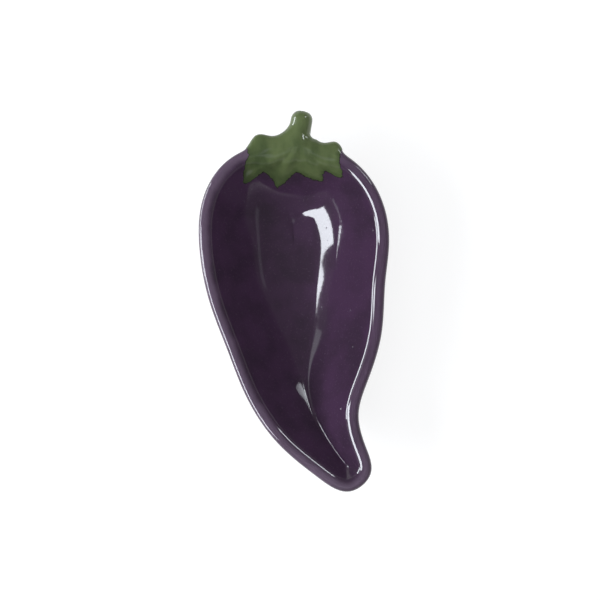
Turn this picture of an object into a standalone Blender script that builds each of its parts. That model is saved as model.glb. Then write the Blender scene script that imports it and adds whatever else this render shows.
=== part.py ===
"""Eggplant-shaped serving dish: one fired piece of glazed ceramic.

The dish is a long open shell with an eggplant's outline. Its rolled rim is level all the way
round. Inside is a well whose depth at each place follows from how far that place is from the
rim, so the walls run at an even slope down to a rounded valley. The outside runs parallel to
the well, one wall thickness below it, and ends in a low oval foot ring with a recessed
underside. At the crown a raised calyx and a rounded stem are moulded on to the outside.

Frame: +Y points to the stem, +Z up. The origin is on the surface that the dish stands on,
under the middle of its bounding box. The dimensions below are in millimetres.
"""

import bmesh
import bpy
import numpy as np
from math import gamma, pi, sqrt
from mathutils import Matrix, Vector

MM = 0.001

# The outline of the rim seen from above, clockwise from the middle of the crown.
OUTLINE = [
    (0.5, 83.8), (22.0, 79.4), (38.4, 66.8), (47.5, 50.0), (50.3, 31.0), (48.3, 10.0),
    (46.3, -17.4), (38.9, -42.6), (34.2, -59.5), (38.0, -77.0), (40.6, -91.0), (30.0, -100.5),
    (12.6, -93.2), (-9.5, -74.2), (-26.0, -49.0), (-35.3, -25.8), (-44.7, -0.5), (-49.8, 26.0),
    (-47.9, 54.2), (-36.0, 73.0), (-18.0, 81.8),
]
TAIL_TIP = 11               # which of those points is the end of the tail

# The lowest line of the well seen from above, from the crown end to the tail end.
VALLEY = [
    (-0.6, 45.0), (-0.3, 27.0), (2.4, 0.5), (6.3, -27.0), (10.6, -52.0), (19.6, -73.0), (29.6, -88.5),
]

HEIGHT = 38.0               # foot to the top of the rim
RIM_OUTER_RADIUS = 2.5      # the rim's roll on its outer side
RIM_INNER_RADIUS = 6.0      # the softer roll into the well
WALL_SLOPE = 49.0           # degrees below level, just inside the rim
WALL_EASING = 1.8           # how the slope eases off towards the valley; 1 is a parabola
UNDERSIDE = 1.8             # height of the outside just above the foot ring

FOOT_CENTRE = (2.0, 8.0)
FOOT_HALF_WIDTH = 17.0
FOOT_HALF_LENGTH = 40.0
FOOT_BAND = 4.0             # width of the ring that touches the table
FOOT_TOP = 7.0              # height of the ring's root, inside the wall
FOOT_FLARE = 1.5            # how much wider the ring is at its root than at the table
FOOT_EDGE = 0.5             # the rounding of the ring's outer edge

CALYX_HALF_SPAN = 27.0      # along the rim, each way from the stem
CALYX_DROP = 22.0           # how far the raised calyx reaches down the outside
CALYX_LIFT = 2.0            # how far it stands out from the body
LOBE_WIDTH = 6.0
LOBES = [(-20.0, 4.0), (19.5, 2.2)]     # place along the rim, extra standing out

STEM_ROOT = (1.0, 76.0, 30.0)           # in the middle of the crown's wall
STEM_TIP = (3.4, 94.9, 31.5)            # centre of the stem's round end
STEM_RADIUS = 6.0
STEM_ROOT_RADIUS = 7.4
STEM_ROOT_SHEAR = 0.85                  # the root is cut off to the slope of the wall

SIDES = 104                 # points round the outline
END_CROWDING = 0.45         # how much closer those points lie at the crown and the tail
STEM_SIDES = 20
WELL_BLEND = 12             # how sharply the well's sides meet; higher is sharper
OUTSIDE_BLEND = 6           # the same for the outside
FOOT_SIDES = 48


def clear_scene():
    """Remove every object the start-up file holds."""
    for item in list(bpy.data.objects):
        bpy.data.objects.remove(item, do_unlink=True)


def smooth_closed_curve(points, knots):
    """Points at the given knot values on a periodic cubic spline through the given points."""
    points = np.asarray(points, float)
    count = len(points)
    matrix = np.zeros((count, count))
    right = np.zeros((count, 2))
    chord = np.linalg.norm(np.roll(points, -1, axis=0) - points, axis=1)
    for i in range(count):
        before, after = chord[i - 1], chord[i]
        matrix[i, i - 1] += before
        matrix[i, i] += 2 * (before + after)
        matrix[i, (i + 1) % count] += after
        right[i] = 6 * ((points[(i + 1) % count] - points[i]) / after
                        - (points[i] - points[i - 1]) / before)
    bend = np.linalg.solve(matrix, right)
    start = np.floor(knots).astype(int) % count
    end = (start + 1) % count
    length = chord[start][:, None]
    along = (knots - np.floor(knots))[:, None] * length
    left = length - along
    return ((bend[start] * left ** 3 + bend[end] * along ** 3) / (6 * length)
            + (points[start] / length - bend[start] * length / 6) * left
            + (points[end] / length - bend[end] * length / 6) * along)


def spaced_knots(points, first, last, count):
    """Knot values that cut the curve between two of its points into count lengths.

    The lengths are shortest at both ends, where the crown and the tail need more points.
    """
    fine = np.linspace(first, last, 2000)
    curve = smooth_closed_curve(points, fine)
    steps = np.linalg.norm(np.diff(curve, axis=0), axis=1)
    travelled = np.concatenate([[0.0], np.cumsum(steps)])
    even = np.arange(count) / count
    place = even - END_CROWDING * np.sin(2 * pi * even) / (2 * pi)
    return np.interp(place * travelled[-1], travelled, fine)


def rim_outline(count):
    """The outline as count points: half of them down the right side, half up the left."""
    half = count // 2
    knots = np.concatenate([spaced_knots(OUTLINE, 0, TAIL_TIP, half),
                            spaced_knots(OUTLINE, TAIL_TIP, len(OUTLINE), half)])
    return smooth_closed_curve(OUTLINE, knots)


def inward_normals(ring):
    """Unit vectors square to a clockwise ring, pointing to its inside."""
    tangent = np.roll(ring, -1, axis=0) - np.roll(ring, 1, axis=0)
    normal = np.stack([tangent[:, 1], -tangent[:, 0]], axis=1)
    return normal / np.linalg.norm(normal, axis=1)[:, None]


def valley_line(count):
    """For each point of the outline, the point of the valley that it faces.

    The share of the valley passed is (1 - cos a) / 2, where a goes once round the outline, so
    the two sides meet the valley at the same points.
    """
    points = np.asarray(VALLEY, float)
    steps = np.linalg.norm(np.diff(points, axis=0), axis=1)
    travelled = np.concatenate([[0.0], np.cumsum(steps)])
    angle = np.arange(count) * 2 * pi / count
    place = (1 - np.cos(angle)) / 2 * travelled[-1]
    return np.stack([np.interp(place, travelled, points[:, 0]),
                     np.interp(place, travelled, points[:, 1])], axis=1)


def distance_to_rim(places, outline, power):
    """Distance from the outline, as a power mean over the whole of it.

    Close to one side this is the plain distance. Where two sides are equally near it is
    rounded off, so a surface that follows it has no crease. A higher power rounds it less.
    """
    steps = np.linalg.norm(np.roll(outline, -1, axis=0) - outline, axis=1)
    gap = np.linalg.norm(places[:, None, :] - outline[None, :, :], axis=2)
    total = (steps[None, :] * gap ** -power).sum(axis=1)
    straight_line = sqrt(pi) * gamma((power - 1) / 2) / gamma(power / 2)
    return (total / straight_line) ** (-1 / (power - 1))


def eased_drop(distance, reach, depth):
    """Drop below the wall's upper edge: steep at first, level at the reach."""
    share = np.clip(distance / reach, 0, 1)
    scale = (WALL_EASING + 1) / WALL_EASING
    return depth * scale * (share - share ** (WALL_EASING + 1) / (WALL_EASING + 1))


def rim_point(tilt):
    """Distance in from the outline and height, where the rim's face leans by tilt degrees.

    Tilt 0 is the top of the rim, -90 the outermost line, and positive tilts face the well.
    """
    lean = np.radians(tilt)
    radius = RIM_OUTER_RADIUS if tilt < 0 else RIM_INNER_RADIUS
    return RIM_OUTER_RADIUS + radius * np.sin(lean), HEIGHT - radius * (1 - np.cos(lean))


class DishShape:
    """The rings of points that the dish's surface passes through.

    Each takes a share: how far the ring is from the rim, as a part of the whole way.
    """

    def __init__(self):
        self.outline = rim_outline(SIDES)
        self.fine_outline = rim_outline(SIDES * 8)
        self.inward = inward_normals(self.outline)
        self.valley = valley_line(SIDES)
        self.well_reach = distance_to_rim(self.valley, self.fine_outline, WELL_BLEND).max()
        self.outside_reach = distance_to_rim(self.valley, self.fine_outline, OUTSIDE_BLEND).max()
        self.along_rim = self.distance_along_rim()

    def distance_along_rim(self):
        """Signed distance along the rim from the middle of the crown, positive to +X."""
        steps = np.linalg.norm(np.roll(self.outline, -1, axis=0) - self.outline, axis=1)
        travelled = np.concatenate([[0.0], np.cumsum(steps)])[:-1]
        whole = steps.sum()
        return np.where(travelled > whole / 2, travelled - whole, travelled)

    def ring(self, plan, heights):
        return np.column_stack([plan, np.broadcast_to(heights, len(plan))])

    def rim_ring(self, tilt):
        inset, height = rim_point(tilt)
        ring = self.ring(self.outline + self.inward * inset, height)
        return self.with_calyx(ring) if tilt < 0 else ring

    def well_ring(self, share):
        """A ring part of the way from the rim's inner edge to the valley."""
        inset, height = rim_point(WALL_SLOPE)
        edge = self.outline + self.inward * inset
        plan = edge + (self.valley - edge) * share
        error = inset - distance_to_rim(edge, self.fine_outline, WELL_BLEND)
        distance = distance_to_rim(plan, self.fine_outline, WELL_BLEND) + error * (1 - share) ** 2
        reach = self.well_reach - inset
        depth = np.tan(np.radians(WALL_SLOPE)) * reach * WALL_EASING / (WALL_EASING + 1)
        return self.ring(plan, height - eased_drop(distance - inset, reach, depth))

    def outer_ring(self, share):
        """A ring part of the way from under the rim to the keel, on the outside."""
        inset, height = rim_point(WALL_SLOPE - 180)
        edge = self.outline + self.inward * inset
        plan = edge + (self.valley - edge) * share
        distance = distance_to_rim(plan, self.fine_outline, OUTSIDE_BLEND) if share else inset
        drop = eased_drop(distance - inset, self.outside_reach - inset, height - UNDERSIDE)
        return self.with_calyx(self.ring(plan, height - drop))

    def with_calyx(self, ring):
        """Push the crown's outside out where the calyx and its lobes lie.

        The push starts at nothing on top of the rim, is full just below it, and fades out
        where the calyx ends.
        """
        down = np.clip((HEIGHT - ring[:, 2]) / CALYX_DROP, 0, 1)
        span = np.clip(1 - np.abs(self.along_rim) / CALYX_HALF_SPAN, 0, 1)
        lift = CALYX_LIFT * np.sqrt(span)
        for place, extra in LOBES:
            lift = lift + extra * np.exp(-((self.along_rim - place) / LOBE_WIDTH) ** 2)
        ring[:, :2] -= self.inward * (lift * np.sin(pi * np.sqrt(down)))[:, None]
        return ring


def skin(mesh, rings):
    """Add rings of points and join each to the next with four-sided faces.

    Returns the corners of each ring.
    """
    corners = [[mesh.verts.new(Vector(point) * MM) for point in ring] for ring in rings]
    for upper, lower in zip(corners, corners[1:]):
        for i in range(len(upper)):
            mesh.faces.new((upper[i - 1], upper[i], lower[i], lower[i - 1]))
    return corners


def finish(mesh):
    """Merge corners that lie on each other and turn every face outwards."""
    bmesh.ops.remove_doubles(mesh, verts=mesh.verts, dist=0.001 * MM)
    bmesh.ops.recalc_face_normals(mesh, faces=mesh.faces)
    return mesh


def build_body(shape):
    """The shell: well, rim and outside, each closed along its lowest line."""
    well = [shape.well_ring(share) for share in (1.0, 0.88, 0.76, 0.63, 0.5, 0.37, 0.24, 0.12)]
    rim = [shape.rim_ring(tilt) for tilt in (WALL_SLOPE, 33, 16, 0, -30, -60, -90)]
    outside = [shape.outer_ring(share) for share in (0.0, 0.07, 0.16, 0.28, 0.42, 0.58, 0.78, 1.0)]
    mesh = bmesh.new()
    skin(mesh, well + rim + outside)
    return finish(mesh)


def build_foot():
    """An oval ring with a flat underside, rooted in the wall above it."""
    around = np.arange(FOOT_SIDES) * 2 * pi / FOOT_SIDES
    inner = FOOT_BAND + FOOT_FLARE
    section = [(-FOOT_FLARE, FOOT_TOP), (0, FOOT_EDGE), (FOOT_EDGE, 0), (FOOT_BAND, 0), (inner, FOOT_TOP)]
    rings = []
    for inset, height in section + section[:1]:
        rings.append(np.column_stack([FOOT_CENTRE[0] + (FOOT_HALF_WIDTH - inset) * np.sin(around),
                                      FOOT_CENTRE[1] + (FOOT_HALF_LENGTH - inset) * np.cos(around),
                                      np.full(FOOT_SIDES, height)]))
    mesh = bmesh.new()
    skin(mesh, rings)
    return finish(mesh)


def build_stem():
    """A rod with a flared root and a round end, along the stem's axis.

    Its root rings are sheared, so that the root stays inside the sloping wall.
    """
    root, tip = Vector(STEM_ROOT), Vector(STEM_TIP)
    length = (tip - root).length
    around = np.arange(STEM_SIDES) * 2 * pi / STEM_SIDES
    rings = []
    for share in (0.0, 0.25, 0.5, 0.75, 1.0):
        radius = STEM_RADIUS + (STEM_ROOT_RADIUS - STEM_RADIUS) * (1 - share) ** 2
        side, up = radius * np.cos(around), radius * np.sin(around)
        rings.append(np.column_stack([side, up, share * length + STEM_ROOT_SHEAR * (1 - share) * up]))
    for angle in (22.5, 45, 67.5):
        turn = np.radians(angle)
        radius = STEM_RADIUS * np.cos(turn)
        rings.append(np.column_stack([radius * np.cos(around), radius * np.sin(around),
                                      np.full(STEM_SIDES, length + STEM_RADIUS * np.sin(turn))]))
    mesh = bmesh.new()
    corners = skin(mesh, rings)
    mesh.faces.new(corners[0])
    mesh.faces.new(corners[-1])
    turn = (tip - root).to_track_quat("Z", "Y").to_matrix().to_4x4()
    mesh.transform(Matrix.Translation(root * MM) @ turn)
    return finish(mesh)


def add_object(name, mesh):
    """Turn a bmesh into an object in the scene."""
    data = bpy.data.meshes.new(name)
    mesh.to_mesh(data)
    mesh.free()
    made = bpy.data.objects.new(name, data)
    bpy.context.scene.collection.objects.link(made)
    return made


def glaze():
    """Deep-purple gloss glaze."""
    material = bpy.data.materials.new("purple_glaze")
    material.use_nodes = True
    shader = material.node_tree.nodes["Principled BSDF"]
    shader.inputs["Base Color"].default_value = (0.045, 0.018, 0.055, 1.0)
    shader.inputs["Roughness"].default_value = 0.08
    shader.inputs["Metallic"].default_value = 0.0
    return material


def fuse(body, name, mesh):
    """Join a closed shape to the body with a Boolean union."""
    former = add_object(name, mesh)
    former.hide_render = True
    former.display_type = "WIRE"
    union = body.modifiers.new(name, "BOOLEAN")
    union.operation = "UNION"
    union.solver = "EXACT"
    union.object = former


def main():
    clear_scene()
    dish = add_object("dish", build_body(DishShape()))
    fuse(dish, "foot_former", build_foot())
    fuse(dish, "stem_former", build_stem())
    dish.data.materials.append(glaze())
    dish.data.shade_smooth()
    dish.data.set_sharp_from_angle(angle=np.radians(40))


main()
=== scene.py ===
"""An eggplant-shaped serving dish of glazed ceramic, with its floor, its light and its camera.

The dish is one closed surface. It is worked out as rows of points that run round the outline:
from the lowest line of the well, over the rolled rim, down the outside to the keel. The same
rules as in the solid model give its shape, at a finer pitch and with the sepals' relief.
"""

from math import gamma, pi, radians, sin, sqrt, tan

import bmesh
import bpy
import numpy as np
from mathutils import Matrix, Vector


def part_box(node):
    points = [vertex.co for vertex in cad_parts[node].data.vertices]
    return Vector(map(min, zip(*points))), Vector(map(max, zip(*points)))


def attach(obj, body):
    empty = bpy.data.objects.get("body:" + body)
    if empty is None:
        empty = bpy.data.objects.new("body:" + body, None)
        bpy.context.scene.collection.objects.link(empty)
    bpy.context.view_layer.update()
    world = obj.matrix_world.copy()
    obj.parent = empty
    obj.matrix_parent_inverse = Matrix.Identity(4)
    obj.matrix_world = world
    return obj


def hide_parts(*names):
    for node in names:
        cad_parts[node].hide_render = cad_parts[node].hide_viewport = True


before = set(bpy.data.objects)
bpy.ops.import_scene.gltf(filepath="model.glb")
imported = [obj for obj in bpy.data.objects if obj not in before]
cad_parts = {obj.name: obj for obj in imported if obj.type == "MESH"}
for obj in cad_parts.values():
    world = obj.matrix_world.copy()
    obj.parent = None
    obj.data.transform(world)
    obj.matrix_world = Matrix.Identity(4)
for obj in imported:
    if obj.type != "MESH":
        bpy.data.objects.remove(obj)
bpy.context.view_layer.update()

MM = 0.001

# ---------------------------------------------------------------------------------------------
# The dish's driving dimensions, in millimetres

# The rim's outline seen from above, clockwise from the middle of the crown.
OUTLINE = [
    (0.5, 83.8), (22.0, 79.4), (38.4, 66.8), (47.5, 50.0), (50.3, 31.0), (48.3, 10.0),
    (46.3, -17.4), (38.9, -42.6), (34.2, -59.5), (38.0, -77.0), (40.6, -91.0), (30.0, -100.5),
    (12.6, -93.2), (-9.5, -74.2), (-26.0, -49.0), (-35.3, -25.8), (-44.7, -0.5), (-49.8, 26.0),
    (-47.9, 54.2), (-36.0, 73.0), (-18.0, 81.8),
]
TAIL_TIP = 11               # which of those points is the end of the tail

# The lowest line of the well seen from above, from the crown end to the tail end.
VALLEY = [(-0.6, 45.0), (-0.3, 27.0), (2.4, 0.5), (6.3, -27.0), (10.6, -52.0), (19.6, -73.0), (29.6, -88.5)]

HEIGHT = 38.0
RIM_OUTER_RADIUS = 2.5
RIM_INNER_RADIUS = 6.0
CROWN_INNER_RADIUS = 11.0   # the roll is broader under the calyx
CROWN_FADE = (33.0, 13.0)   # distances along the rim between which that comes in
WALL_SLOPE = 49.0           # degrees below level, just inside the rim
WALL_EASING = 1.8           # how the slope eases off towards the valley; 1 is a parabola
UNDERSIDE = 1.8
WELL_BLEND = (12, 28)       # how sharply the well's two sides meet, at the crown and in the tail
OUTSIDE_BLEND = (6, 6)      # the same for the outside
TAIL_BLEND_ZONE = (-15.0, -60.0)        # between these Y the tail's value takes over
PLAIN_BAND = (5.0, 2.0)     # so near the rim the outside follows the plain distance

FOOT_CENTRE = (2.0, 8.0)
FOOT_HALF_WIDTH = 17.0
FOOT_HALF_LENGTH = 40.0
FOOT_BAND = 4.0
FOOT_TOP = 7.0
FOOT_FLARE = 1.5
FOOT_EDGE = 0.9             # rounding of the ring's lower edges

# How far the calyx stands out from the body just below the rim, at places along the rim
# measured from the middle of the crown.
CALYX_SWELL = [(-26.5, 0.0), (-23.5, 1.6), (-21.3, 5.0), (-18.5, 6.4), (-15.0, 4.7), (-11.5, 2.9),
               (-6.0, 3.3), (3.0, 3.6), (10.0, 1.8), (14.0, 0.6), (18.0, 2.2), (21.8, 5.2),
               (24.2, 1.7), (27.0, 0.0)]
CALYX_DROP = 22.0           # how far below the rim the swelling reaches
SEPAL_RELIEF = 0.9          # step at the sepals' edge on the outside
SEPAL_STEP = (-0.5, 0.7)    # distances from that edge between which it rises
STEP_BELOW_RIM = (1.0, 5.0)             # drops below the rim between which the step comes in
RIB_FADE = (0.0, 3.0)       # distances from that edge between which the ribs come in
RIB_HEIGHT = 0.9            # soft ribs run from the stem to the sepals' tips
RIB_WIDTH = 2.6
RIB_ROOT = (3.0, 83.0)
RIB_TIPS = [
    (-26.0, 64.0), (-8.9, 62.0), (14.5, 64.5), (25.0, 66.5), (30.0, 95.0), (11.0, 104.0),
    (-9.0, 104.0), (-29.0, 96.0),
]

# The calyx's edge with the outside unrolled flat beyond the outline: tips and hollows in turn.
CALYX_EDGE = [
    (-24.9, 79.0), (-23.6, 76.5), (-25.6, 72.5), (-26.6, 68.5), (-27.1, 64.5), (-26.8, 61.6),
    (-23.7, 62.8), (-20.0, 65.0), (-17.1, 67.7), (-15.8, 67.9), (-13.4, 66.0), (-11.4, 63.7),
    (-10.2, 61.6), (-8.9, 60.0), (-7.2, 60.6), (-4.0, 62.9), (-1.4, 65.8), (0.8, 67.9),
    (3.4, 67.0), (6.9, 65.2), (11.3, 63.6), (15.8, 62.6), (15.4, 64.6), (15.6, 66.8),
    (16.5, 68.4), (18.6, 67.4), (21.7, 65.6), (25.8, 64.5), (25.9, 66.6), (25.3, 68.7),
    (24.2, 72.4), (24.1, 76.5), (25.6, 79.2), (28.6, 86.0), (31.5, 92.0), (33.0, 98.5),
    (27.0, 97.0), (22.0, 93.5), (18.4, 92.5), (16.0, 97.5), (12.0, 106.5), (7.0, 101.5),
    (3.5, 97.0), (0.5, 96.0), (-3.0, 100.0), (-8.5, 107.5), (-12.5, 101.0), (-16.0, 94.5),
    (-19.5, 94.0), (-25.0, 98.0), (-33.5, 100.0), (-32.0, 92.5), (-28.5, 86.0),
]

STEM_ROOT = (2.1, 84.2, 30.6)
STEM_END = (4.0, 94.95, 31.4)           # centre of its round end
STEM_RADIUS = 5.8
STEM_FOOTPRINT = 13.0                   # radius at which the stem starts to rise from the crown
STEM_FOOTPRINT_LEAN = 3.0               # how much wider that is on the -X side
STEM_FACING = (0.05, 0.7)               # how squarely a point faces the stem's end to follow it
STEM_BEHIND = 16.0                      # nothing further behind the root moves

SIDES = 520                 # points round the outline
END_CROWDING = 0.5          # how much closer those points lie at the crown and the tail
WELL_ROWS = 54
RIM_ROWS = 34
ROWS_ADDED_OUTSIDE = 8      # the outer roll turns further than the inner one
ROWS_TO_SIDE = 12           # from the rim's crest to the row where the sepals' outside begins
OUTSIDE_CROWDING = 1.35     # packs the outside's rows closer under the rim
SWELL_SMOOTHING = 9         # points over which the calyx's swelling is averaged
OUTSIDE_ROWS = 76
FOOT_SIDES = 160
SEAM_GAP = 0.02             # points closer than this are merged
SHARP_ANGLE = 50.0          # degrees; only sharper folds are shaded as edges
FAR_FROM_SEPALS = 20.0      # what the foot ring's points carry in place of measured distances
FAR_FROM_CREST = 60.0


# ---------------------------------------------------------------------------------------------
# Shape

def closed_spline(points, knots):
    """A periodic cubic spline: cubic pieces between the points, equal in slope and in bend."""
    points = np.asarray(points, float)
    count = len(points)
    chord = np.linalg.norm(np.roll(points, -1, axis=0) - points, axis=1)
    before = np.roll(chord, 1)
    matrix = np.diag(2 * (before + chord))
    here = np.arange(count)
    matrix[here, here - 1] += before
    matrix[here, (here + 1) % count] += chord
    rise = (np.roll(points, -1, axis=0) - points) / chord[:, None]
    bend = np.linalg.solve(matrix, 6 * (rise - np.roll(rise, 1, axis=0)))
    start = np.floor(knots).astype(int) % count
    end = (start + 1) % count
    length = chord[start][:, None]
    along = (knots - np.floor(knots))[:, None] * length
    left = length - along
    return ((bend[start] * left ** 3 + bend[end] * along ** 3) / (6 * length)
            + (points[start] / length - bend[start] * length / 6) * left
            + (points[end] / length - bend[end] * length / 6) * along)


def outline_points(count):
    """The outline as count points, half down the right side and half up the left.

    Along each half the place is t - c sin(2 pi t) / (2 pi), which crowds both ends.
    """
    even = np.arange(count // 2) / (count // 2)
    place = even - END_CROWDING * np.sin(2 * pi * even) / (2 * pi)
    knots = []
    for first, last in ((0, TAIL_TIP), (TAIL_TIP, len(OUTLINE))):
        fine = np.linspace(first, last, 4000)
        steps = np.linalg.norm(np.diff(closed_spline(OUTLINE, fine), axis=0), axis=1)
        travelled = np.concatenate([[0.0], np.cumsum(steps)])
        knots.append(np.interp(place * travelled[-1], travelled, fine))
    return closed_spline(OUTLINE, np.concatenate(knots))


def valley_points(count):
    """The valley's point at share (1 - cos a) / 2 of its length, where a goes once round."""
    points = np.asarray(VALLEY, float)
    steps = np.linalg.norm(np.diff(points, axis=0), axis=1)
    travelled = np.concatenate([[0.0], np.cumsum(steps)])
    place = (1 - np.cos(np.arange(count) * 2 * pi / count)) / 2 * travelled[-1]
    return np.stack([np.interp(place, travelled, points[:, axis]) for axis in (0, 1)], axis=1)


def smooth_step(low, high, value):
    """0 below low, 1 above high, and 3 t^2 - 2 t^3 between."""
    t = np.clip((value - low) / (high - low), 0, 1)
    return t * t * (3 - 2 * t)


class Rim:
    """The outline, what is measured from it, and the rules for the surfaces on both sides."""

    def __init__(self):
        self.outline = outline_points(SIDES)
        self.fine = outline_points(SIDES * 2)
        self.steps = np.linalg.norm(np.roll(self.fine, -1, axis=0) - self.fine, axis=1)
        tangent = np.roll(self.outline, -1, axis=0) - np.roll(self.outline, 1, axis=0)
        inward = np.stack([tangent[:, 1], -tangent[:, 0]], axis=1)
        self.inward = inward / np.linalg.norm(inward, axis=1)[:, None]
        self.valley = valley_points(SIDES)
        self.well_reach = self.distance(self.valley, WELL_BLEND).max()
        self.outside_reach = self.distance(self.valley, OUTSIDE_BLEND).max()
        chord = np.linalg.norm(np.roll(self.outline, -1, axis=0) - self.outline, axis=1)
        travelled = np.cumsum(chord) - chord
        whole = chord.sum()
        self.along = np.where(travelled > whole / 2, travelled - whole, travelled)
        near_crown = smooth_step(*CROWN_FADE, abs(self.along))
        self.inner_radius = RIM_INNER_RADIUS + (CROWN_INNER_RADIUS - RIM_INNER_RADIUS) * near_crown

    def distance(self, places, powers):
        """Distance d to the outline as a power mean: d^(1-p) is the integral of gap^-p along it.

        It is worked out for two powers, and the second takes over down the tail.
        """
        gap2 = ((places[:, None, :] - self.fine[None, :, :]) ** 2).sum(axis=2)
        means = []
        for power in powers:
            total = (self.steps[None, :] * gap2 ** (-power / 2)).sum(axis=1)
            straight = sqrt(pi) * gamma((power - 1) / 2) / gamma(power / 2)
            means.append((total / straight) ** (-1 / (power - 1)))
        return means[0] + (means[1] - means[0]) * smooth_step(*TAIL_BLEND_ZONE, places[:, 1])

    def rim_rows(self, tilts):
        """The rolled rim: two arcs in section, offset square to the outline.

        Tilt 0 is the top, -90 the outermost line; positive tilts face the well.
        """
        lean = np.radians(tilts)[:, None]
        radius = np.where(lean < 0, RIM_OUTER_RADIUS, self.inner_radius)
        inset = RIM_OUTER_RADIUS + radius * np.sin(lean)
        height = HEIGHT - radius * (1 - np.cos(lean))
        plan = self.outline[None] + self.inward[None] * inset[:, :, None]
        return with_heights(plan, np.broadcast_to(height, plan.shape[:2]))

    def wall_rows(self, shares, edge, depth, inside):
        """Rows from an edge line to the valley, dropping by an eased slope with distance.

        With s the distance as a share of the reach, the drop is proportional to
        s - s^(k+1) / (k+1). In the well the power mean is mended so that it agrees with the
        edge line; outside, the plain distance square to the rim takes its place near the edge.
        """
        inset = ((edge[:, :2] - self.outline) * self.inward).sum(axis=1)
        rows = []
        powers = WELL_BLEND if inside else OUTSIDE_BLEND
        reach = self.well_reach if inside else self.outside_reach
        mend = (inset - self.distance(edge[:, :2], powers)) if inside else 0.0
        for share in shares:
            plan = edge[:, :2] + (self.valley - edge[:, :2]) * share
            plain = inset + ((plan - edge[:, :2]) * self.inward).sum(axis=1)
            smooth = self.distance(plan, powers) if share > 0 else plain
            smooth = smooth + mend * (1 - share) ** 2
            near = 0.0 if inside else smooth_step(*PLAIN_BAND, plain)
            part = np.clip((plain * near + smooth * (1 - near) - inset) / (reach - inset), 0, 1)
            scale = (WALL_EASING + 1) / WALL_EASING
            drop = depth * scale * (part - part ** (WALL_EASING + 1) / (WALL_EASING + 1))
            rows.append(np.column_stack([plan, edge[:, 2] - drop]))
        return np.array(rows)


def with_heights(plan, heights):
    """Points in plan and their heights as points in space."""
    return np.concatenate([plan, heights[..., None]], axis=-1)


def unrolled(rim, rows, rim_row):
    """The surface laid flat: plan view inside the outline, path length beyond it outside."""
    steps = np.linalg.norm(np.diff(rows, axis=0), axis=2)
    travelled = np.concatenate([np.zeros((1, rows.shape[1])), np.cumsum(steps, axis=0)])
    beyond = np.clip(travelled - travelled[rim_row], 0, None)[..., None]
    outside = rim.outline[None] - rim.inward[None] * beyond
    inside = rows[..., :2]
    row = np.arange(len(rows))[:, None, None]
    return np.where(row > rim_row, outside, inside)


def inside_distance(places, corners):
    """Signed distance to a closed line of straight pieces: positive inside, negative outside."""
    flat = places.reshape(-1, 2)
    nearest = np.full(len(flat), 1e9)
    crossings = np.zeros(len(flat), int)
    for (x0, y0), (x1, y1) in zip(corners, corners[1:] + corners[:1]):
        edge = np.array([x1 - x0, y1 - y0])
        from_start = flat - (x0, y0)
        share = np.clip(from_start @ edge / (edge @ edge), 0, 1)
        nearest = np.minimum(nearest, np.linalg.norm(from_start - share[:, None] * edge, axis=1))
        spans = (flat[:, 1] < y0) != (flat[:, 1] < y1)
        meets = x0 + (flat[:, 1] - y0) * edge[0] / (edge[1] if edge[1] else 1e-9)
        crossings += spans & (flat[:, 0] < meets)
    return np.where(crossings % 2 == 1, nearest, -nearest).reshape(places.shape[:-1])


def surface_normals(rows):
    """Unit normals: the cross product of the steps round the outline and from row to row."""
    around = np.roll(rows, -1, axis=1) - np.roll(rows, 1, axis=1)
    down = np.gradient(rows, axis=0)
    normal = np.cross(down, around)
    return normal / np.maximum(np.linalg.norm(normal, axis=2), 1e-9)[..., None]


def swell_calyx(rim, rows, flat, calyx, rim_row):
    """Give the crown its calyx.

    The outside moves square to the outline by swelling times sin(pi sqrt(down)), where down
    is the drop below the rim as a share of the calyx's depth. Then the sepals' step, a smooth
    step of the distance to their edge, and the ribs move the surface along its normals.
    """
    place, lift = np.array(CALYX_SWELL).T
    swell = np.interp(rim.along, place, lift, left=0, right=0)
    ends = SWELL_SMOOTHING - 1
    average = np.ones(SWELL_SMOOTHING) / SWELL_SMOOTHING
    swell = np.convolve(np.concatenate([swell[-ends:], swell, swell[:ends]]), average, "same")[ends:-ends]
    down = np.clip((HEIGHT - rows[..., 2]) / CALYX_DROP, 0, 1)
    outside = (np.arange(len(rows)) > rim_row - RIM_ROWS // 2)[:, None]
    push = swell[None] * np.sin(pi * np.sqrt(down)) * outside
    below_rim = smooth_step(*STEP_BELOW_RIM, HEIGHT - rows[..., 2]) * outside
    step = SEPAL_RELIEF * smooth_step(*SEPAL_STEP, calyx) * below_rim
    step = step + rib_relief(flat) * smooth_step(*RIB_FADE, calyx)
    out = rows.copy()
    out[..., :2] -= rim.inward[None] * push[..., None]
    return out - surface_normals(out) * step[..., None] * normal_sign(out)


def rib_relief(flat):
    """Height of the ribs: a bell curve of the distance to the nearest line from stem to tip."""
    root = np.array(RIB_ROOT)
    height = np.zeros(flat.shape[:2])
    for tip in RIB_TIPS:
        run = np.array(tip) - root
        share = np.clip((flat - root) @ run / (run @ run), 0, 1)
        away = np.linalg.norm(flat - root - share[..., None] * run, axis=2)
        height = np.maximum(height, RIB_HEIGHT * np.exp(-(away / RIB_WIDTH) ** 2) * (1 - share ** 2))
    return height


def normal_sign(rows):
    """+1 or -1, whichever turns surface_normals inwards at the middle of the rim."""
    top = np.unravel_index(np.argmax(rows[..., 2]), rows.shape[:2])
    return -1.0 if surface_normals(rows)[top][2] > 0 else 1.0


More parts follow.
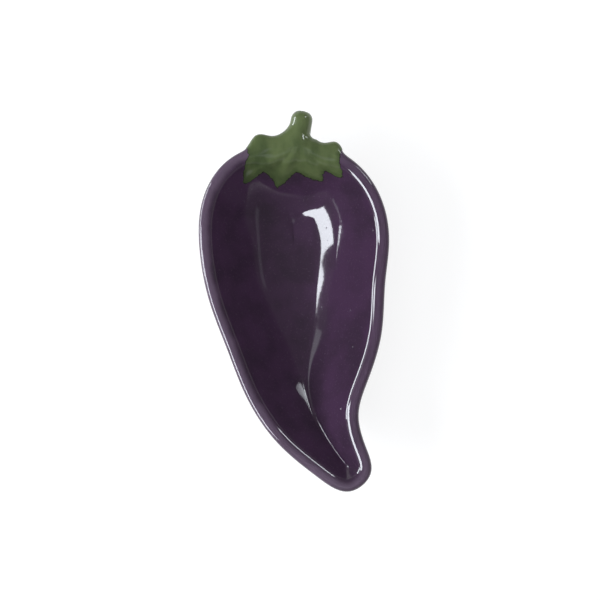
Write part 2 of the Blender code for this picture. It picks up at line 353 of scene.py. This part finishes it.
def draw_out_stem(rows):
    """Draw the stem out of the crown, as a potter pulls clay.

    A point r from the stem's axis moves to the point of the stem's profile at the matching
    length: a quarter-round fillet, then the straight side, then the round end.
    """
    root, end = np.array(STEM_ROOT), np.array(STEM_END)
    length = np.linalg.norm(end - root)
    axis = (end - root) / length
    offset = rows - root
    along = offset @ axis
    across = offset - along[..., None] * axis
    radius = np.linalg.norm(across, axis=2)
    outward = across / np.maximum(radius, 1e-6)[..., None]
    footprint = STEM_FOOTPRINT - STEM_FOOTPRINT_LEAN * outward[..., 0]
    fillet = footprint - STEM_RADIUS
    bend = fillet * pi / 2
    side = np.maximum(length - fillet, 0)
    whole = bend + side + STEM_RADIUS * pi / 2
    travelled = np.clip(1 - radius / footprint, 0, 1) * whole
    turn = np.clip(travelled / fillet, 0, pi / 2)
    cap = np.clip((travelled - bend - side) / STEM_RADIUS, 0, pi / 2)
    new_radius = footprint - fillet * np.sin(turn) - STEM_RADIUS * (1 - np.cos(cap))
    rise = fillet * (1 - np.cos(turn)) + np.clip(travelled - bend, 0, side) + STEM_RADIUS * np.sin(cap)
    kept = np.clip(radius / footprint, 0, 1) ** 2
    drawn = root + outward * new_radius[..., None] + axis * (rise + along * kept)[..., None]
    facing = -(surface_normals(rows) @ axis) * normal_sign(rows)
    amount = smooth_step(*STEM_FACING, facing) * (radius < footprint) * (along > -STEM_BEHIND)
    return rows + (drawn - rows) * amount[..., None]


def dish_rows():
    """The dish's whole surface as rows of points, and its attributes."""
    rim = Rim()
    inner_tilts = np.linspace(WALL_SLOPE, 0, RIM_ROWS // 2, endpoint=False)
    outer_tilts = np.linspace(0, WALL_SLOPE - 180, RIM_ROWS // 2 + ROWS_ADDED_OUTSIDE)
    rolled = rim.rim_rows(np.concatenate([inner_tilts, outer_tilts]))
    inner_edge, outer_edge = rolled[0], rolled[-1]
    inset = RIM_OUTER_RADIUS + RIM_INNER_RADIUS * sin(radians(WALL_SLOPE))
    well_depth = tan(radians(WALL_SLOPE)) * (rim.well_reach - inset) * WALL_EASING / (WALL_EASING + 1)
    well_shares = np.linspace(1, 0, WELL_ROWS, endpoint=False)
    well = rim.wall_rows(well_shares, inner_edge, well_depth, inside=True)
    outside_shares = np.linspace(0, 1, OUTSIDE_ROWS + 1)[1:] ** OUTSIDE_CROWDING
    outside = rim.wall_rows(outside_shares, outer_edge, outer_edge[0, 2] - UNDERSIDE, inside=False)
    rows = np.concatenate([well, rolled, outside])
    crest_row = WELL_ROWS + len(inner_tilts)
    flat = unrolled(rim, rows, crest_row + ROWS_TO_SIDE)
    calyx = inside_distance(flat, CALYX_EDGE)
    steps = np.linalg.norm(np.diff(rows, axis=0), axis=2)
    travelled = np.concatenate([np.zeros((1, rows.shape[1])), np.cumsum(steps, axis=0)])
    from_crest = travelled - travelled[crest_row]
    rows = swell_calyx(rim, rows, flat, calyx, crest_row + ROWS_TO_SIDE)
    rows = draw_out_stem(rows)
    return rows, {"calyx": calyx, "from_crest": from_crest}


def foot_rows():
    """The foot ring: a flat-bottomed section with rounded edges, carried round an oval."""
    corner = np.linspace(0, pi / 2, 6)
    edge = FOOT_EDGE * (1 - np.cos(corner))
    rise = FOOT_EDGE * (1 - np.sin(corner))
    outer = np.stack([edge, rise], axis=1)
    inner = np.stack([FOOT_BAND - edge[::-1], rise[::-1]], axis=1)
    top_outer = [(-FOOT_FLARE, FOOT_TOP)]
    top_inner = [(FOOT_BAND + FOOT_FLARE, FOOT_TOP)]
    section = np.concatenate([top_outer, outer, inner, top_inner])
    around = np.arange(FOOT_SIDES) * 2 * pi / FOOT_SIDES
    section = np.concatenate([section, section[:1]])
    inset = section[:, :1]
    x = FOOT_CENTRE[0] + (FOOT_HALF_WIDTH - inset) * np.sin(around)
    y = FOOT_CENTRE[1] + (FOOT_HALF_LENGTH - inset) * np.cos(around)
    rows = np.stack([x, y, np.broadcast_to(section[:, 1:], x.shape)], axis=2)
    return rows, {
        "calyx": np.full(x.shape, -FAR_FROM_SEPALS),
        "from_crest": np.full(x.shape, FAR_FROM_CREST),
    }


# ---------------------------------------------------------------------------------------------
# Meshes

def mesh_from_rows(name, rows, attributes):
    """A closed mesh of four-sided faces between the rows, with one attribute value a point."""
    count, sides = rows.shape[:2]
    number = np.arange(count * sides).reshape(count, sides)
    upper, lower = number[:-1], number[1:]
    faces = np.stack([upper, np.roll(upper, -1, axis=1), np.roll(lower, -1, axis=1), lower], axis=2)
    data = bpy.data.meshes.new(name)
    data.from_pydata(rows.reshape(-1, 3) * MM, [], faces.reshape(-1, 4))
    for key, values in attributes.items():
        layer = data.attributes.new(key, "FLOAT", "POINT")
        layer.data.foreach_set("value", values.ravel().astype(np.float32))
    work = bmesh.new()
    work.from_mesh(data)
    bmesh.ops.remove_doubles(work, verts=work.verts, dist=SEAM_GAP * MM)
    bmesh.ops.recalc_face_normals(work, faces=work.faces)
    work.to_mesh(data)
    work.free()
    made = bpy.data.objects.new(name, data)
    bpy.context.scene.collection.objects.link(made)
    return made


def union(body, other):
    """Fuse another closed piece into the body and remove it."""
    join = body.modifiers.new("union", "BOOLEAN")
    join.operation = "UNION"
    join.solver = "EXACT"
    join.object = other
    result = bpy.data.meshes.new_from_object(body.evaluated_get(bpy.context.evaluated_depsgraph_get()))
    body.modifiers.clear()
    body.data = result
    bpy.data.objects.remove(other)


def fit_to_box(piece, lowest, highest):
    """Stretch the piece by a hair so that it fills the solid's box exactly."""
    count = len(piece.data.vertices)
    places = np.empty(count * 3)
    piece.data.vertices.foreach_get("co", places)
    places = places.reshape(-1, 3)
    low, high = places.min(axis=0), places.max(axis=0)
    share = (places - low) / (high - low)
    fitted = np.array(lowest) + share * (np.array(highest) - np.array(lowest))
    piece.data.vertices.foreach_set("co", fitted.ravel())
    piece.data.update()


def make_dish():
    dish = mesh_from_rows("glazed_dish", *dish_rows())
    union(dish, mesh_from_rows("foot_ring", *foot_rows()))
    fit_to_box(dish, *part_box("dish"))
    dish.data.shade_smooth()
    dish.data.set_sharp_from_angle(angle=radians(SHARP_ANGLE))
    return dish


# ---------------------------------------------------------------------------------------------
# Finishes

class Recipe:
    """A small helper that lays out the nodes of one material."""

    def __init__(self, name):
        self.material = bpy.data.materials.new(name)
        self.material.use_nodes = True
        self.tree = self.material.node_tree
        self.shader = self.tree.nodes["Principled BSDF"]
        self.place = self.tree.nodes.new("ShaderNodeTexCoord").outputs["Object"]

    def link(self, value, socket):
        """Join a socket to a socket, or set the socket to a plain value."""
        if isinstance(value, bpy.types.NodeSocket):
            self.tree.links.new(value, socket)
        else:
            socket.default_value = value

    def attribute(self, name):
        node = self.tree.nodes.new("ShaderNodeAttribute")
        node.attribute_name = name
        return node.outputs["Fac"]

    def noise(self, scale, detail=2.0, roughness=0.5, stretch=None):
        node = self.tree.nodes.new("ShaderNodeTexNoise")
        node.inputs["Scale"].default_value = scale
        node.inputs["Detail"].default_value = detail
        node.inputs["Roughness"].default_value = roughness
        place = self.place
        if stretch:
            mapping = self.tree.nodes.new("ShaderNodeMapping")
            mapping.inputs["Scale"].default_value = stretch
            self.tree.links.new(place, mapping.inputs["Vector"])
            place = mapping.outputs["Vector"]
        self.tree.links.new(place, node.inputs["Vector"])
        return node.outputs["Fac"]

    def spots(self, scale):
        node = self.tree.nodes.new("ShaderNodeTexVoronoi")
        node.inputs["Scale"].default_value = scale
        self.tree.links.new(self.place, node.inputs["Vector"])
        return node.outputs["Distance"]

    def ramp(self, value, from_low, from_high, to_low=0.0, to_high=1.0):
        """A smooth step from one number to another."""
        node = self.tree.nodes.new("ShaderNodeMapRange")
        node.interpolation_type = "SMOOTHSTEP"
        self.link(value, node.inputs["Value"])
        for name, number in (("From Min", from_low), ("From Max", from_high),
                             ("To Min", to_low), ("To Max", to_high)):
            node.inputs[name].default_value = number
        return node.outputs["Result"]

    def math(self, operation, first, second=0.0):
        node = self.tree.nodes.new("ShaderNodeMath")
        node.operation = operation
        self.link(first, node.inputs[0])
        self.link(second, node.inputs[1])
        return node.outputs["Value"]

    def mix(self, amount, first, second):
        node = self.tree.nodes.new("ShaderNodeMix")
        node.data_type = "RGBA"
        self.link(amount, node.inputs["Factor"])
        self.link(first, node.inputs["A"])
        self.link(second, node.inputs["B"])
        return node.outputs["Result"]

    def bump(self, height, distance, under=None):
        node = self.tree.nodes.new("ShaderNodeBump")
        node.inputs["Distance"].default_value = distance
        self.link(height, node.inputs["Height"])
        if under is not None:
            self.link(under, node.inputs["Normal"])
        return node.outputs["Normal"]


def colour(red, green, blue):
    return (red, green, blue, 1.0)


PURPLE = colour(0.0530, 0.0260, 0.0560)
PURPLE_THICK = colour(0.0370, 0.0205, 0.0385)       # where the glaze has pooled
PURPLE_THIN_AND_SHEEN = colour(0.1150, 0.0800, 0.1180)        # where it has run thin over an edge; also the painted reflection on the rim's -X side and the painted sheen at the tail's tip
GREEN = colour(0.1050, 0.1360, 0.0540)
GREEN_DARK = colour(0.0450, 0.0660, 0.0240)
EDGE_LINE = colour(0.0220, 0.0180, 0.0140)
BARE_CLAY = colour(0.5200, 0.4300, 0.3300)
CLAY_SHADE = colour(0.3600, 0.2800, 0.2000)
GLAZE_IOR = 1.5

# Sizes of the patterns, as cells to the metre.
CLOUDS = 55.0
SPECKLES = 900.0
BRUSH_STROKES = 110.0
EDGE_WANDER = 420.0
CLAY_GRAIN = 700.0
WAVES = 45.0
ORANGE_PEEL = 500.0
PINHOLES = 130.0

# Depths of the patterns, in metres.
WAVE_DEPTH = 0.0005
PEEL_DEPTH = 0.000006
PINHOLE_DEPTH = 0.00008

THIN_AND_SHEEN_BAND = (0.4, 4.2)              # millimetres from the rim's crest, for the thin glaze and for the painted reflection and sheen
TAIL_SHEEN_BAND = (-0.095, -0.070)    # where along the dish the painted sheen at the tail's tip lies
GLAZE_LINE = (0.0006, 0.0010)       # height at which the glaze stops on the foot ring
CLAY_ROUGHNESS = 0.85
GLOSS = (0.045, 0.075)              # roughness of the glaze, from cloud to cloud
GREEN_DULLER = 0.02                 # how much rougher the green is


def purple_glaze(make, cloud, across, along):
    """Mottled purple, lighter along the rim where the glaze runs thin, with a painted reflection that makes
    the rim lighter still on the -X side and a painted sheen at the tail's tip.
    """
    speckle = make.noise(SPECKLES, 3.0, 0.6)
    purple = make.mix(make.ramp(cloud, 0.35, 0.7), PURPLE, PURPLE_THICK)
    purple = make.mix(make.ramp(speckle, 0.55, 0.8, 0.0, 0.35), purple, PURPLE_THIN_AND_SHEEN)
    from_crest = make.math("ABSOLUTE", make.attribute("from_crest"))
    from_crest = make.math("ADD", from_crest, make.ramp(cloud, 0.3, 0.7, -0.6, 0.6))
    near_rim = make.ramp(from_crest, *THIN_AND_SHEEN_BAND, 0.8, 0.0)
    # Painted reflection: the rim's light band is fullest on the -X side and drops to 0.45 of it on the +X
    # side.
    on_left = make.ramp(across, -0.02, 0.05, 1.0, 0.45)
    # Painted sheen: the rim is lighter still at the tail's tip.
    tip_sheen = make.ramp(along, *TAIL_SHEEN_BAND, 0.5, 0.0)
    thin_and_sheen = make.math("MULTIPLY", near_rim, make.math("ADD", on_left, tip_sheen))
    return make.mix(thin_and_sheen, purple, PURPLE_THIN_AND_SHEEN)


def green_glaze(make, inside, across):
    """Brushed green, with painted shade that darkens it on the -X side; darker towards the sepals' edges,
    with a dark outline.
    """
    strokes_and_shade = make.noise(BRUSH_STROKES, 3.0, 0.55, (1.0, 0.5, 0.6))
    # Painted shade: the green is pushed darker on the -X side.
    strokes_and_shade = make.math("ADD", strokes_and_shade, make.ramp(across, -0.024, 0.004, 0.2, 0.0))
    green = make.mix(make.ramp(strokes_and_shade, 0.35, 0.95), GREEN, GREEN_DARK)
    green = make.mix(make.ramp(inside, 0.3, 3.0, 0.75, 0.0), green, GREEN_DARK)
    return make.mix(make.ramp(inside, 0.15, 0.5), EDGE_LINE, green)


def glaze():
    """Purple glaze on the body, green on the calyx and stem, bare clay under the foot ring."""
    make = Recipe("purple_and_green_glaze")
    separate = make.tree.nodes.new("ShaderNodeSeparateXYZ")
    make.link(make.place, separate.inputs["Vector"])
    across, along, height = separate.outputs
    cloud = make.noise(CLOUDS, 4.0)
    purple = purple_glaze(make, cloud, across, along)
    wander = make.ramp(make.noise(EDGE_WANDER, 2.0), 0.3, 0.7, -0.35, 0.35)
    inside = make.math("ADD", make.attribute("calyx"), wander)
    coloured = make.mix(make.ramp(inside, -0.12, 0.12), purple, green_glaze(make, inside, across))
    height = make.math("ADD", height, make.ramp(cloud, 0.3, 0.7, -0.0003, 0.0003))
    glazed = make.ramp(height, *GLAZE_LINE)
    clay = make.mix(make.noise(CLAY_GRAIN, 4.0, 0.7), BARE_CLAY, CLAY_SHADE)
    make.link(make.mix(glazed, clay, coloured), make.shader.inputs["Base Color"])
    duller = make.ramp(inside, 0.0, 0.4, 0.0, GREEN_DULLER)
    roughness = make.math("ADD", make.ramp(cloud, 0.3, 0.7, *GLOSS), duller)
    roughness = make.math("MAXIMUM", roughness, make.ramp(glazed, 0.0, 1.0, CLAY_ROUGHNESS, 0.0))
    make.link(roughness, make.shader.inputs["Roughness"])
    waves = make.bump(make.noise(WAVES, 0.0), WAVE_DEPTH)
    peel = make.bump(make.noise(ORANGE_PEEL, 1.0), PEEL_DEPTH, waves)
    pits = make.ramp(make.spots(PINHOLES), 0.0, 0.07)
    make.link(make.bump(pits, PINHOLE_DEPTH, peel), make.shader.inputs["Normal"])
    make.shader.inputs["IOR"].default_value = GLAZE_IOR
    return make.material


TABLE_GLOW = 0.80
TABLE_WHITE = colour(0.29, 0.29, 0.29)
TABLE_SHADE = colour(0.27, 0.27, 0.27)


def floor_finish():
    """A light table: white acrylic, lit from below."""
    make = Recipe("white_light_table")
    grain = make.noise(40.0, 3.0)
    make.link(make.mix(grain, TABLE_SHADE, TABLE_WHITE), make.shader.inputs["Base Color"])
    make.shader.inputs["Roughness"].default_value = 0.9
    make.shader.inputs["Emission Color"].default_value = colour(1.0, 1.0, 1.0)
    make.shader.inputs["Emission Strength"].default_value = TABLE_GLOW
    return make.material


# ---------------------------------------------------------------------------------------------
# Studio

VIEW_WIDTH = 0.3158         # metres across the square image at the rim's height
VIEW_CENTRE = (0.0032, 0.0005)
CAMERA_HEIGHT = 1.30
SENSOR = 36.0

FLOOR_SIDES = 96
FLOOR_RADIUS = 6.0
FLOOR_GAP = 0.0002          # metres between the foot ring and the floor

DAYLIGHT = (0.95, 1.0, 1.06)
HORIZON_GLOW = 0.95
OVERHEAD_GLOW = 0.17
GLOW_REACH = 0.26           # sine of the elevation at which the horizon's glow has faded out

# Name, azimuth and elevation in degrees, distance, width and height in metres, brightness of
# the face, and what it shows in. The rim keeps the low part of the key out of the well.
LIGHTS = [
    ("key", 200, 35, 1.0, 0.74, 0.36, 18.5, "reflections"),
    ("key_shading", 190, 35, 1.0, 1.00, 0.38, 9.0, "shading"),
    ("key_low", 169, 12, 1.1, 0.84, 0.26, 16.0, "reflections"),
    ("key_second", 161, 33, 1.0, 0.24, 0.20, 1.5, "reflections"),
    ("side", 43, 34, 1.5, 0.34, 0.26, 12.0, "both"),
    ("side_strip", 352, 28, 1.5, 1.3, 0.12, 0.35, "reflections"),
    ("ceiling", 266, 66, 1.5, 0.40, 0.50, 0.7, "reflections"),
    ("fill", 90, 88, 2.0, 2.5, 2.5, 0.9, "shading"),
]


def make_floor(lowest):
    """A flat disc far wider than the view, just under the dish."""
    around = np.arange(FLOOR_SIDES) * 2 * pi / FLOOR_SIDES
    level = np.full(FLOOR_SIDES, lowest - FLOOR_GAP)
    ring = np.column_stack([FLOOR_RADIUS * np.cos(around), FLOOR_RADIUS * np.sin(around), level])
    data = bpy.data.meshes.new("floor")
    data.from_pydata(ring, [], [list(range(FLOOR_SIDES))])
    floor = bpy.data.objects.new("floor", data)
    floor.data.materials.append(floor_finish())
    bpy.context.scene.collection.objects.link(floor)


def soft_light(name, azimuth, elevation, away, width, height, radiance, shows):
    """A softbox facing the dish. Its power follows from the brightness of its face.

    It shows in reflections, in the soft shading, or in both.
    """
    data = bpy.data.lights.new(name, "AREA")
    data.color = DAYLIGHT
    data.shape = "RECTANGLE"
    data.size, data.size_y = width, height
    data.energy = radiance * pi * width * height
    light = bpy.data.objects.new(name, data)
    around, up = radians(azimuth), radians(elevation)
    toward = Vector((np.cos(up) * np.cos(around), np.cos(up) * np.sin(around), np.sin(up)))
    light.location = toward * away
    light.rotation_euler = (-toward).to_track_quat("-Z", "Y").to_euler()
    light.visible_glossy = shows != "shading"
    light.visible_diffuse = shows != "reflections"
    bpy.context.scene.collection.objects.link(light)


def surroundings():
    """A pale room near the horizon that darkens overhead."""
    world = bpy.data.worlds.new("studio")
    bpy.context.scene.world = world
    world.use_nodes = True
    tree = world.node_tree
    place = tree.nodes.new("ShaderNodeTexCoord")
    split = tree.nodes.new("ShaderNodeSeparateXYZ")
    ramp = tree.nodes.new("ShaderNodeMapRange")
    ramp.interpolation_type = "SMOOTHSTEP"
    tree.links.new(place.outputs["Generated"], split.inputs["Vector"])
    tree.links.new(split.outputs["Z"], ramp.inputs["Value"])
    ramp.inputs["From Min"].default_value = 0.0
    ramp.inputs["From Max"].default_value = GLOW_REACH
    ramp.inputs["To Min"].default_value = HORIZON_GLOW
    ramp.inputs["To Max"].default_value = OVERHEAD_GLOW
    background = tree.nodes["Background"]
    tree.links.new(ramp.outputs["Result"], background.inputs["Strength"])
    background.inputs["Color"].default_value = colour(1.0, 1.0, 1.0)


def overhead_camera(rim_height):
    """A camera straight above the dish, whose lens makes the rim's height span VIEW_WIDTH."""
    data = bpy.data.cameras.new("camera")
    data.sensor_width = SENSOR
    data.lens = SENSOR * (CAMERA_HEIGHT - rim_height) / VIEW_WIDTH
    camera = bpy.data.objects.new("camera", data)
    camera.location = (*VIEW_CENTRE, CAMERA_HEIGHT)
    bpy.context.scene.collection.objects.link(camera)
    bpy.context.scene.camera = camera


def main():
    bpy.context.scene.view_settings.view_transform = "Standard"
    overhead_camera(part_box("dish")[1].z)
    surroundings()
    for light in LIGHTS:
        soft_light(*light)
    dish = make_dish()
    dish.data.materials.clear()
    dish.data.materials.append(glaze())
    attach(dish, "root")
    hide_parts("dish")
    make_floor(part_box("dish")[0].z)


main()
